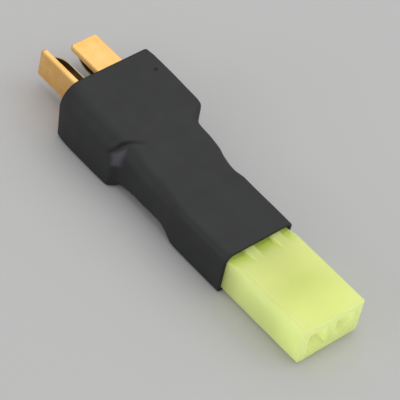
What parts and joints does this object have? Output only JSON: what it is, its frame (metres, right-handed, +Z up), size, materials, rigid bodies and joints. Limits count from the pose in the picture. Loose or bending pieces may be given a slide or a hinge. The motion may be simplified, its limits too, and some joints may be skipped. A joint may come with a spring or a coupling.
{
  "type": "battery connector adapter",
  "caption": "Straight battery adapter: a blade plug with spring leaves, soldered to a two-way socket housing under a black shrink sleeve.",
  "frame": {"origin": "middle of the base, on the surface that the adapter lies on", "axes": "+X from the blades to the socket's mouth, +Y towards the lying blade, +Z up from the surface"},
  "size_m": [0.0632, 0.0174, 0.009],
  "materials": {
    "plug_nylon": "moulded, satin",
    "blade_gold": "gold plated, satin",
    "leaf_steel": "spring steel, bright",
    "housing_plastic": "translucent yellow-green, satin",
    "contact_tin": "tin plated",
    "conductor_copper": "tinned copper strands",
    "insulation_black": "soft, matte",
    "insulation_red": "soft, matte",
    "solder": "bright solder",
    "sleeve_black": "shrunk tube, matte"
  },
  "bodies": {
    "root": {"plug_body": "plug_nylon", "flat_blade": "blade_gold", "upright_blade": "blade_gold", "flat_leaf": "leaf_steel", "upright_leaf": "leaf_steel", "socket_housing": "housing_plastic", "near_contact": "contact_tin", "far_contact": "contact_tin", "near_conductor": "conductor_copper", "far_conductor": "conductor_copper", "near_insulation": "insulation_black", "far_insulation": "insulation_red", "near_solder": "solder", "far_solder": "solder", "shrink_sleeve": "sleeve_black"}
  },
  "joints": []
}
